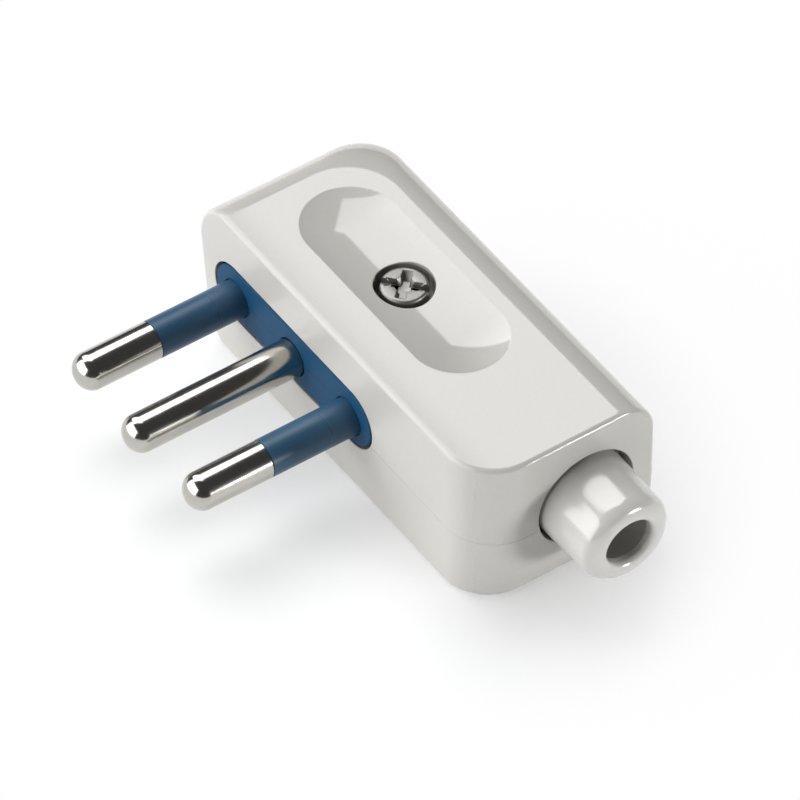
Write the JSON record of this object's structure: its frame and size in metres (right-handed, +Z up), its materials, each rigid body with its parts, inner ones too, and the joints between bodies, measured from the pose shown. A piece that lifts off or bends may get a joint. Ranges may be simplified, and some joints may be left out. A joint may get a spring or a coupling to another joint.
{
  "type": "earthed power plug",
  "caption": "Straight-row earthed mains plug with sleeved outer pins, a two-shell moulded body, a screw in a finger recess and a side cord outlet.",
  "frame": {"origin": "centre of the plug's outer box, on the plane of its flat bottom", "axes": "+X towards the cord outlet, the pins point along -Y, +Z up through the finger recess"},
  "size_m": [0.0544, 0.0402, 0.018],
  "materials": {
    "shell": "glossy moulded off-white",
    "outlet": "satin off-white",
    "carrier": "satin blue",
    "sleeves": "satin dark blue",
    "pins": "polished nickel plate",
    "cover_screw": "nickel plate",
    "small_screws": "zinc-plated steel"
  },
  "bodies": {
    "root": {"upper_shell": "shell", "lower_shell": "shell", "pin_carrier": "carrier", "earth_pin": "pins", "line_pin": "pins", "neutral_pin": "pins", "line_sleeve": "sleeves", "neutral_sleeve": "sleeves", "earth_terminal_screw": "small_screws", "line_terminal_screw": "small_screws", "neutral_terminal_screw": "small_screws", "cover_screw": "cover_screw", "cover_nut": "small_screws", "cord_outlet": "outlet", "cord_clamp_bar": "shell", "clamp_screw_front": "small_screws", "clamp_screw_back": "small_screws"}
  },
  "joints": []
}
